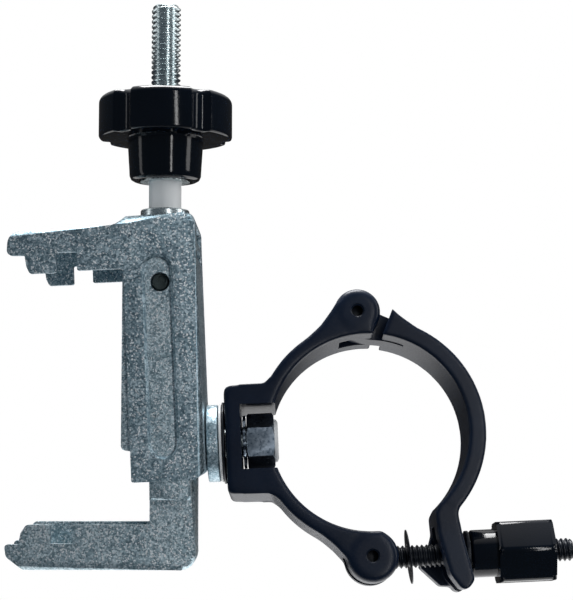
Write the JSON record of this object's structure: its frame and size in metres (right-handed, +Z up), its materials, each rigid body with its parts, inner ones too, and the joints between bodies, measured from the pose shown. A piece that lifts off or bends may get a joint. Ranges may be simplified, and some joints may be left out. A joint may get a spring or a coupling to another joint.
{
  "type": "screw clamp with hinged tube ring",
  "caption": "Folded steel C-shaped screw clamp with sliding lower jaw and star knob, carrying a hinged tube ring on a side swivel bolt, closed by an eye bolt and hand nut.",
  "frame": {"origin": "midway between the two gripping teeth of the upper jaw, at the level of their lower edges", "axes": "+X from the jaws towards the tube ring and along the swivel bolt, +Y from the front side plate to the rear one, +Z up along the upper bracket's spine"},
  "size_m": [0.149, 0.0359, 0.1634],
  "materials": {
    "zinc": "dull zinc plating with a fine spangle",
    "bright": "bright zinc plating",
    "phenolic": "polished black phenolic",
    "ring_black": "satin black powder coat",
    "black_steel": "black oxide steel",
    "nylon": "white nylon"
  },
  "bodies": {
    "upper_jaw": {"upper_bracket": "zinc", "swivel_bolt": "bright", "swivel_spacer": "zinc", "nylon_washer": "nylon", "lock_nut": "bright", "lock_nut_insert": "nylon", "tooth_washer": "bright"},
    "spindle": {"spindle": "bright", "star_knob": "phenolic", "knob_insert": "bright", "spindle_collar": "bright", "thrust_washer": "bright", "retaining_clip": "bright"},
    "lower_jaw": {"lower_bracket": "zinc", "traveller_nut": "bright", "guide_pin_front": "bright", "guide_pin_rear": "bright"},
    "ring": {"ring_fixed_half": "ring_black", "friction_disc": "black_steel", "hinge_pin": "black_steel", "eye_pin": "black_steel"},
    "gate": {"ring_gate": "ring_black"},
    "eye_bolt": {"eye_bolt": "black_steel", "retaining_disc": "black_steel"},
    "nut_carrier": {"nut_washer": "black_steel"},
    "hand_nut": {"hand_nut": "phenolic", "hand_nut_insert": "bright"}
  },
  "joints": [
    {"name": "knob_spin", "type": "hinge", "parent": "upper_jaw", "child": "spindle", "pos_m": [0.0294, 0, -0.01873], "axis": [0.0454, 0, 0.999], "range_deg": [-1021, 7400]},
    {"name": "jaw_slide", "type": "slide", "parent": "upper_jaw", "child": "lower_jaw", "axis": [0.0454, 0, 0.999], "range_m": [-0.029, 0.004]},
    {"name": "ring_swivel", "type": "hinge", "parent": "upper_jaw", "child": "ring", "pos_m": [0.031, 0, -0.0461], "axis": [1, 0, 0], "continuous": true},
    {"name": "gate_open", "type": "hinge", "parent": "ring", "child": "gate", "pos_m": [0.08165, 0.00479, -0.01406], "axis": [0, -0.989, 0.1478], "range_deg": [0, 10.7]},
    {"name": "bolt_swing", "type": "hinge", "parent": "ring", "child": "eye_bolt", "pos_m": [0.082, -0.00478, -0.07809], "axis": [0, 0.989, -0.1478], "range_deg": [0, 100]},
    {"name": "nut_slide", "type": "slide", "parent": "eye_bolt", "child": "nut_carrier", "axis": [1, 0, 0], "range_m": [0, 0.012]},
    {"name": "hand_nut_spin", "type": "hinge", "parent": "nut_carrier", "child": "hand_nut", "pos_m": [0.111, -0.00478, -0.07809], "axis": [1, 0, 0], "range_deg": [0, 3402]}
  ],
  "couplings": [
    {"joint": "knob_spin", "follows": "jaw_slide", "rad_per_m": -4453},
    {"joint": "hand_nut_spin", "follows": "nut_slide", "rad_per_m": 4947.4},
    {"joint": "gate_open", "follows": "nut_slide", "rad_per_m": 15.444}
  ]
}
